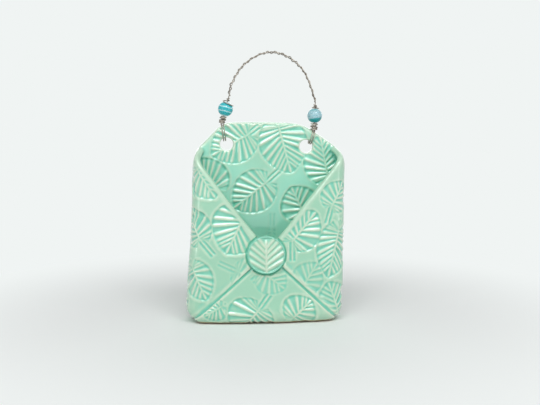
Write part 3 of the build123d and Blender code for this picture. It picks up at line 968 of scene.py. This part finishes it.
# %% A smooth line
def smooth_line(points, per_span):
    """A smooth line through points, each span bending towards its neighbours."""
    points = [np.array(point, float) for point in points]
    padded = [2 * points[0] - points[1], *points, 2 * points[-1] - points[-2]]
    line = []
    for a, b, c, d in zip(padded, padded[1:], padded[2:], padded[3:]):
        bend = 2 * a - 5 * b + 4 * c - d
        swerve = 3 * b - a - 3 * c + d
        for t in np.linspace(0, 1, per_span, endpoint=False):
            line.append(0.5 * (2 * b + (c - a) * t + bend * t**2 + swerve * t**3))
    line.append(points[-1])
    return np.array(line)


# %% [markdown]
# ## The twisted arch
#
# Two wires are twisted together over the arch, tightly in some places and loosely in others. The
# core runs down through both beads. The second wire winds round it, and the core gives way to the
# other side. Both follow one smooth line through the arch's points. A plain helix bent along it would
# be too even for hand work, so slow waves vary its pitch and its width.

# %% Where the stems stand
HANDLE_Y = 11.25
LOOP_MIDDLE = {"left": (-34.6, 156.0), "right": (39.2, 151.8)}
LOOP_LEAN = {"left": radians(-8), "right": radians(18)}
LOOP_RADIUS = {"left": 7.35, "right": 6.0}
STEM_LEAN = {"left": radians(15.5), "right": radians(2.5)}
SHOULDER = 1.0
NECK_SPREAD = 0.7


def loop_height(side):
    """How far above its middle a loop's strands come together."""
    return sqrt((LOOP_RADIUS[side] + SHOULDER) ** 2 - (NECK_SPREAD + SHOULDER) ** 2)


def leaning(start, lean, up, back=0.0, across=0.0):
    """A point up a line that leans to the right, and as far behind and beside it as asked."""
    return (
        start[0] + sin(lean) * up + cos(lean) * across,
        HANDLE_Y + back,
        start[1] + cos(lean) * up - sin(lean) * across,
    )


def on_stem(side, height, back=0.0, across=0.0):
    """A point on the straight stem above a loop, height measured from the top of the loop."""
    foot_x, _, foot_z = leaning(LOOP_MIDDLE[side], LOOP_LEAN[side], loop_height(side))
    return leaning((foot_x, foot_z), STEM_LEAN[side], height, back, across)


for side in LOOP_MIDDLE:
    print(side, "stem starts at, mm:", np.round(on_stem(side, 0), 1))

# %% Line of the arch
STEM_HEIGHT = 22.77
ARCH = [
    (-27.6, 195.5),
    (-19.0, 209.5),
    (-6.0, 218.9),
    (7.0, 221.5),
    (19.6, 217.6),
    (31.0, 208.0),
    (37.4, 196.0),
]

arch_points = [(arch_x, HANDLE_Y, arch_z) for arch_x, arch_z in ARCH]
arch_points = [on_stem("left", STEM_HEIGHT), *arch_points, on_stem("right", STEM_HEIGHT)]
arch_line = smooth_line(arch_points, 60)
arch_steps = np.linalg.norm(np.diff(arch_line, axis=0), axis=1)
arch_way = np.concatenate([[0], np.cumsum(arch_steps)])
arch_length = arch_way[-1]
arch_run = np.gradient(arch_line, axis=0)
arch_run /= np.linalg.norm(arch_run, axis=1)[:, None]
arch_out = np.cross(np.array([0.0, 1.0, 0.0]), arch_run)
print("arch length, mm:", round(float(arch_length), 1))

# %% Twist the wires
TWISTS = 17
CORE_SWING = 0.34
TWIST_SWING = 0.95
TIGHTEST = 0.72
STEM_START = 1.4
STEM_END = STEM_HEIGHT - 0.5
STEM_POINTS = 24

turns = 2 * pi * TWISTS * arch_way / arch_length
turns = turns + 0.7 * np.sin(arch_way / 11.0) + 0.4 * np.sin(arch_way / 4.7 + 1.0)
loose = 0.85 + 0.22 * np.sin(arch_way / 9.0 + 0.6) + 0.12 * np.sin(arch_way / 3.7)
fade = ease(arch_way, 0, 6) * ease(arch_length - arch_way, 0, 6)
swing = arch_out * np.cos(turns)[:, None]
swing[:, 1] += np.sin(turns)
core_arch = arch_line - swing * (CORE_SWING * loose * fade)[:, None]
twist_arch = arch_line + swing * (TWIST_SWING * np.maximum(loose, TIGHTEST))[:, None]
left_stem = [on_stem("left", height) for height in np.linspace(STEM_START, STEM_END, STEM_POINTS)]
right_stem = [on_stem("right", height) for height in np.linspace(STEM_END, STEM_START, STEM_POINTS)]
core = wire_tube("core_wire_bent", [*left_stem, *core_arch[2:-2], *right_stem])
twist = wire_tube("twist_wire_bent", twist_arch)
print("twists:", TWISTS)

# %% [markdown]
# ## Loops, necks and caps
#
# At each hole two strands go round the clay and up into a neck, which thin wire binds under the bead:
# up in a tight layer, and down and up again over it, so that the turns cross. A loose turn of wire
# sits on top of each bead. The strands follow the CAD loops, which leave them room to swing.
#
# Curves drawn by hand would hardly wind evenly round a leaning stem, so each path is a formula.

# %% Path of a loop
STRAIGHT = 0.9
STRAIGHT_POINTS = 4
SHOULDER_POINTS = 10
ROUND_POINTS = 72
SWAY_RATE = 0.13


def loop_path(side, shift, wobble):
    """One strand of a loop, from one side of the neck round to the other."""
    radius = LOOP_RADIUS[side]
    rise = loop_height(side)
    opening = np.arctan2(NECK_SPREAD + SHOULDER, rise)
    flat = []
    for step in np.linspace(STRAIGHT, 0, STRAIGHT_POINTS, endpoint=False):
        flat.append((-NECK_SPREAD, rise + step))
    for angle in np.linspace(0, pi / 2 - opening, SHOULDER_POINTS, endpoint=False):
        flat.append((-NECK_SPREAD - SHOULDER + SHOULDER * cos(angle), rise - SHOULDER * sin(angle)))
    for angle in np.linspace(opening, 2 * pi - opening, ROUND_POINTS):
        flat.append((-radius * sin(angle), radius * cos(angle)))
    for angle in np.linspace(pi / 2 - opening, 0, SHOULDER_POINTS)[1:]:
        flat.append((NECK_SPREAD + SHOULDER - SHOULDER * cos(angle), rise - SHOULDER * sin(angle)))
    for step in np.linspace(0, STRAIGHT, STRAIGHT_POINTS)[1:]:
        flat.append((NECK_SPREAD, rise + step))
    path = []
    for number, (back, up) in enumerate(flat):
        sway = shift + wobble * sin(pi * number / (len(flat) - 1)) * sin(SWAY_RATE * number)
        path.append(leaning(LOOP_MIDDLE[side], LOOP_LEAN[side], up, back, sway))
    return path


print("points of a loop:", len(loop_path("left", 0, 0)))

# %% Bend the loops
STRAND_SPREAD = 0.8
STRANDS = [
    ("left_outer_loop", "left", -STRAND_SPREAD, 0.12),
    ("left_inner_loop", "left", STRAND_SPREAD, -0.10),
    ("right_inner_loop", "right", -STRAND_SPREAD, 0.10),
    ("right_outer_loop", "right", STRAND_SPREAD, -0.12),
]

loops = {}
for node_name, side, shift, wobble in STRANDS:
    loops[node_name] = wire_tube(node_name + "_bent", loop_path(side, shift, wobble))
print("loops:", list(loops))

# %% Path of a neck
NECK_POINTS = 260
NECK_TURNS = 8.3
NECK_LAYERS = 3
NECK_LOW = -0.3
NECK_HIGH = 4.7
NECK_RADIUS = {"left": 2.35, "right": 2.7}
NECK_START = {"left": 0.5, "right": 2.2}
NECK_SLANT = 0.25
TIGHT_RADIUS = 1.4
OVER_STRANDS = 0.65
STRANDS_END = 1.6


def neck_path(side):
    """A wire bound round the neck, up, down and up again, so that its layers cross."""
    path = []
    for part in np.linspace(0, 1, NECK_POINTS):
        angle = NECK_START[side] + 2 * pi * NECK_TURNS * part
        height = NECK_LOW + (NECK_HIGH - NECK_LOW) * (0.5 + 0.5 * cos(NECK_LAYERS * pi * (1 - part)))
        height += NECK_SLANT * sin(angle + 1.0)
        tight = TIGHT_RADIUS + OVER_STRANDS * float(ease(STRANDS_END - height, 0, 0.9))
        radius = tight + (NECK_RADIUS[side] - tight) * float(ease(part, 0.25, 0.45))
        radius += 0.15 * sin(2.3 * angle) * float(ease(part, 0.4, 0.5))
        path.append(on_stem(side, height, radius * sin(angle), radius * cos(angle)))
    return path


print("neck height, mm:", NECK_HIGH - NECK_LOW)

# %% Path of a cap
BEAD_RADIUS = 6.2
BEAD_HEIGHT = 11.27
THIN_WIRE = 0.4
CAP_GAP = 0.3
CAP_POINTS = 130
CAP_START = radians(9)
CAP_REACH = {"left": radians(54), "right": radians(27)}
CAP_TURNS = {"left": 1.9, "right": 2.6}
CAP_RISE = 2.4
CAP_END = -0.35


def cap_path(side):
    """A wire drawn round the stem on top of the bead, whose loose end lies over the glass."""
    over = BEAD_RADIUS + CAP_GAP + THIN_WIRE
    path = []
    for part in np.linspace(0, 1, CAP_POINTS):
        angle = CAP_END - 2 * pi * CAP_TURNS[side] * (1 - part) ** 1.3
        lean = CAP_START + (CAP_REACH[side] - CAP_START) * float(ease(part, 0.35, 1.0))
        height = BEAD_HEIGHT + over * cos(lean) + CAP_RISE * (1 - part) ** 2
        path.append(on_stem(side, height, over * sin(lean) * sin(angle), over * sin(lean) * cos(angle)))
    return path


print("cap turns:", CAP_TURNS)

# %% Wind the necks and caps
wraps = {}
for side in ("left", "right"):
    wraps[side + "_neck_wrap"] = wire_tube(side + "_neck_wrap_bent", neck_path(side), THIN_WIRE)
    wraps[side + "_cap_wrap"] = wire_tube(side + "_cap_wrap_bent", cap_path(side), THIN_WIRE)
print("wraps:", list(wraps))

# %% [markdown]
# ## Dull steel
#
# Annealed wire is a dull warm grey with darker patches where it was heated and bright scratches from
# the pliers. One even grey would look like plastic, so two noises vary it: a slow one for the patches
# and a fine one for the roughness.

# %% Finish the wire
steel, nodes, links, shader = new_finish("grey_wire")
spot = nodes.new("ShaderNodeTexCoord").outputs["Object"]
dark_patches = noise(nodes, links, 260.0, 3.0, spot)
steel_colour = colour_ramp(nodes, links, dark_patches, [
    (0.3, from_srgb(122, 114, 105)),
    (0.55, from_srgb(164, 156, 146)),
    (0.75, from_srgb(206, 200, 190)),
])
scratches = noise(nodes, links, 1500.0, 2.0, spot)
dull = rescaled(nodes, links, scratches, {"To Min": 0.28, "To Max": 0.5})
fill(links, shader, {"Base Color": steel_colour, "Roughness": dull.outputs["Result"], "Metallic": 0.75})
bent_wires = {"core_wire": core, "twist_wire": twist, **loops, **wraps}
for node_name, tube in bent_wires.items():
    tube.data.materials.append(steel)
    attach(tube, "handle")
    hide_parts(node_name)
print("wires:", len(bent_wires))

# %% [markdown]
# ## Glass beads
#
# The beads are wound from hot glass, with stripes trailed on as they turn. A sphere has no hole for
# the wire, so each is a turned profile with a bore and soft lips. The place of each point in the
# bead's own frame is kept on the mesh, so that the stripes stay with the bead however it turns.

# %% Section of a bead
BEAD_FLAT = 5.75
BORE = 0.75
BEAD_LIP = 0.5
LIP_BEND = 0.12
LIP_GAP = 0.03
ROUNDING_POINTS = 40


def bead_profile():
    """Half of the bead's section from the lower bore to the upper, as (radius, height)."""
    lip = np.arcsin(BEAD_FLAT / BEAD_RADIUS) - LIP_GAP
    rounding = np.linspace(-lip, lip, ROUNDING_POINTS)
    outside = [(BEAD_RADIUS * cos(turn), BEAD_RADIUS * sin(turn)) for turn in rounding]
    edge_low = [
        (BORE, -BEAD_FLAT + BEAD_LIP),
        (BORE + LIP_BEND, -BEAD_FLAT + LIP_BEND),
        (BORE + BEAD_LIP, -BEAD_FLAT),
    ]
    edge_high = [(radius, -height) for radius, height in edge_low[::-1]]
    return edge_low + outside + edge_high


print("points of the section:", len(bead_profile()))

# %% Turn the beads
BEAD_STEPS = 72


def glass_bead(side):
    """A bead on its stem."""
    build = bmesh.new()
    inside = build.verts.layers.float_vector.new("bead_place")
    profile = bead_profile()
    rows = []
    for step in range(BEAD_STEPS):
        turn = 2 * pi * step / BEAD_STEPS
        row = []
        for radius, height in profile:
            local = (radius * cos(turn), radius * sin(turn), height)
            place = on_stem(side, BEAD_HEIGHT + height, local[1], local[0])
            vert = build.verts.new(Vector(place) * MM)
            vert[inside] = local
            row.append(vert)
        rows.append(row)
    count = len(profile)
    for row, following in zip(rows, rows[1:] + rows[:1]):
        for step in range(count):
            after = (step + 1) % count
            build.faces.new((row[step], following[step], following[after], row[after]))
    bmesh.ops.recalc_face_normals(build, faces=build.faces[:])
    for face in build.faces:
        face.smooth = True
    bead = new_piece(build, side + "_bead_glass")
    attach(bead, side + "_bead")
    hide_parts(side + "_bead")
    return bead


beads = {side: glass_bead(side) for side in ("left", "right")}
print("bead faces:", len(beads["left"].data.polygons))

# %% [markdown]
# The left bead is turquoise with thin white trails, which sit a little aslant. The right one is pale
# blue with fine bands, and dark teal in its lowest part. A tilted height in the bead's own frame,
# bent by a noise, drives a ramp for each.

# %% Striped glass
STRIPE_BEND = 0.9
STRIPE_WAVES = 0.2


def striped_glass(name, tilt_x, tilt_y, stops, repeat):
    """Glass whose colour follows a tilted height, over and over each repeat, in mm."""
    finish, nodes, links, shader = new_finish(name)
    where = attribute(nodes, "bead_place").outputs["Vector"]
    lean = nodes.new("ShaderNodeVectorMath")
    lean.operation = "DOT_PRODUCT"
    fill(links, lean, {0: where, 1: (tilt_x, tilt_y, 1.0)})
    bend = noise(nodes, links, STRIPE_WAVES, 1.0, where)
    bent = calculate(nodes, links, "MULTIPLY_ADD", bend, STRIPE_BEND, lean.outputs["Value"])
    scaled = calculate(nodes, links, "MULTIPLY_ADD", bent, 1 / repeat, 0.5)
    part = calculate(nodes, links, "FRACT", scaled)
    colour = colour_ramp(nodes, links, part, stops, "LINEAR")
    fill(links, shader, {"Base Color": colour, "Roughness": 0.16, "IOR": 1.5})
    return finish


# %% Stripe the beads
turquoise = from_srgb(58, 190, 198)
deep_turquoise = from_srgb(38, 170, 180)
milk = from_srgb(190, 226, 230)
left_glass = striped_glass("turquoise_glass", -0.03, 0.06, [
    (0.0, milk),
    (0.08, milk),
    (0.2, turquoise),
    (0.6, deep_turquoise),
    (0.88, turquoise),
    (1.0, milk),
], 3.5)
teal = from_srgb(40, 158, 162)
dusk = from_srgb(120, 186, 194)
pale = from_srgb(146, 192, 204)
paler = from_srgb(166, 202, 209)
right_glass = striped_glass("pale_blue_glass", -0.18, 0.05, [
    (0.0, teal),
    (0.35, teal),
    (0.38, pale),
    (0.46, paler),
    (0.52, pale),
    (0.6, paler),
    (0.68, pale),
    (0.76, paler),
    (0.85, dusk),
    (0.95, pale),
], 15.0)
beads["left"].data.materials.append(left_glass)
beads["right"].data.materials.append(right_glass)
print("striped:", [bead.name for bead in beads.values()])

# %% [markdown]
# ## Floor and light
#
# The vase stands on a plain pale floor. A backdrop would hide the back in other views, so the sky
# itself is pale for the camera, and the floor fades into it further out, where no shadow falls. Glass
# and metal see the same pale sky, while its light on the vase is softer. A broad lamp above and in
# front gives the soft light, and a long narrow one below it the white shines on the ribs. Two weak
# upright strips light the flanks of the upright ribs, and a weak lamp behind keeps the back from
# being dark.

# %% Lay the floor
FLOOR_SIZE = 12.0

floor_build = bmesh.new()
bmesh.ops.create_grid(floor_build, x_segments=1, y_segments=1, size=FLOOR_SIZE / 2)
floor = new_piece(floor_build, "studio_floor")
print("floor, m:", FLOOR_SIZE)

# %% Fade the floor into the sky
PALE = from_srgb(240, 244, 243)
SHADOW_REACH = 0.09
FADED = 0.34


def seen_directly(nodes, links):
    """1 for a ray from the camera, or one that reached here by a mirror or through glass."""
    path = nodes.new("ShaderNodeLightPath")
    total = calculate(nodes, links, "ADD", path.outputs["Is Camera Ray"], path.outputs["Is Glossy Ray"])
    total = calculate(nodes, links, "ADD", total, path.outputs["Is Transmission Ray"])
    return calculate(nodes, links, "MINIMUM", total, 1.0)


paper, nodes, links, shader = new_finish("studio_paper")
fill(links, shader, {"Base Color": from_srgb(240, 243, 242), "Roughness": 0.9})
distance = nodes.new("ShaderNodeVectorMath")
distance.operation = "LENGTH"
links.new(nodes.new("ShaderNodeTexCoord").outputs["Object"], distance.inputs[0])
fade_ends = {"From Min": SHADOW_REACH, "From Max": FADED}
fading = rescaled(nodes, links, distance.outputs["Value"], fade_ends)
fading.interpolation_type = "SMOOTHSTEP"
share = calculate(nodes, links, "MULTIPLY", fading.outputs["Result"], seen_directly(nodes, links))
glow = nodes.new("ShaderNodeEmission")
glow.inputs["Color"].default_value = PALE
both = nodes.new("ShaderNodeMixShader")
fill(links, both, {"Fac": share, 1: shader.outputs["BSDF"], 2: glow.outputs["Emission"]})
links.new(both.outputs["Shader"], nodes["Material Output"].inputs["Surface"])
floor.data.materials.append(paper)
print("the floor is gone at, m:", FADED)

# %% Set the sky
SKY_LIGHT = 0.24

world = bpy.data.worlds.new("soft_sky")
world.use_nodes = True
nodes, links = world.node_tree.nodes, world.node_tree.links
seen_sky = nodes["Background"]
seen_sky.inputs["Color"].default_value = PALE
sky_light = nodes.new("ShaderNodeBackground")
fill(links, sky_light, {"Strength": SKY_LIGHT, "Color": (1.0, 1.0, 1.0, 1.0)})
either = nodes.new("ShaderNodeMixShader")
fill(links, either, {
    "Fac": seen_directly(nodes, links),
    1: sky_light.outputs["Background"],
    2: seen_sky.outputs["Background"],
})
links.new(either.outputs["Shader"], nodes["World Output"].inputs["Surface"])
bpy.context.scene.world = world
print("sky light:", SKY_LIGHT)

# %% Set the lamps
MIDDLE_OF_VASE = Vector((0, 0, 0.11))
LAMPS = [
    ("window", (0.0, -0.66, 0.82), 0.8, 0.1, 2.0),
    ("ceiling", (0.0, -0.72, 0.88), 1.2, 0.6, 6.2),
    ("left_strip", (-0.85, -0.62, 0.3), 0.08, 0.8, 1.3),
    ("right_strip", (0.85, -0.62, 0.3), 0.08, 0.8, 0.9),
    ("back_fill", (0.1, 0.95, 0.5), 1.0, 0.6, 2.4),
]


def soft_lamp(name, location, width, height, power):
    """A lamp with a wide face that points at the vase, in metres and watts."""
    data = bpy.data.lights.new(name, "AREA")
    data.shape = "RECTANGLE"
    data.size = width
    data.size_y = height
    data.energy = power
    lamp = bpy.data.objects.new(name, data)
    bpy.context.collection.objects.link(lamp)
    lamp.location = location
    lamp.rotation_euler = (MIDDLE_OF_VASE - Vector(location)).to_track_quat("-Z", "Y").to_euler()


for lamp_values in LAMPS:
    soft_lamp(*lamp_values)
bpy.context.scene.view_settings.view_transform = "Standard"
print("lamps:", [name for name, *_ in LAMPS])
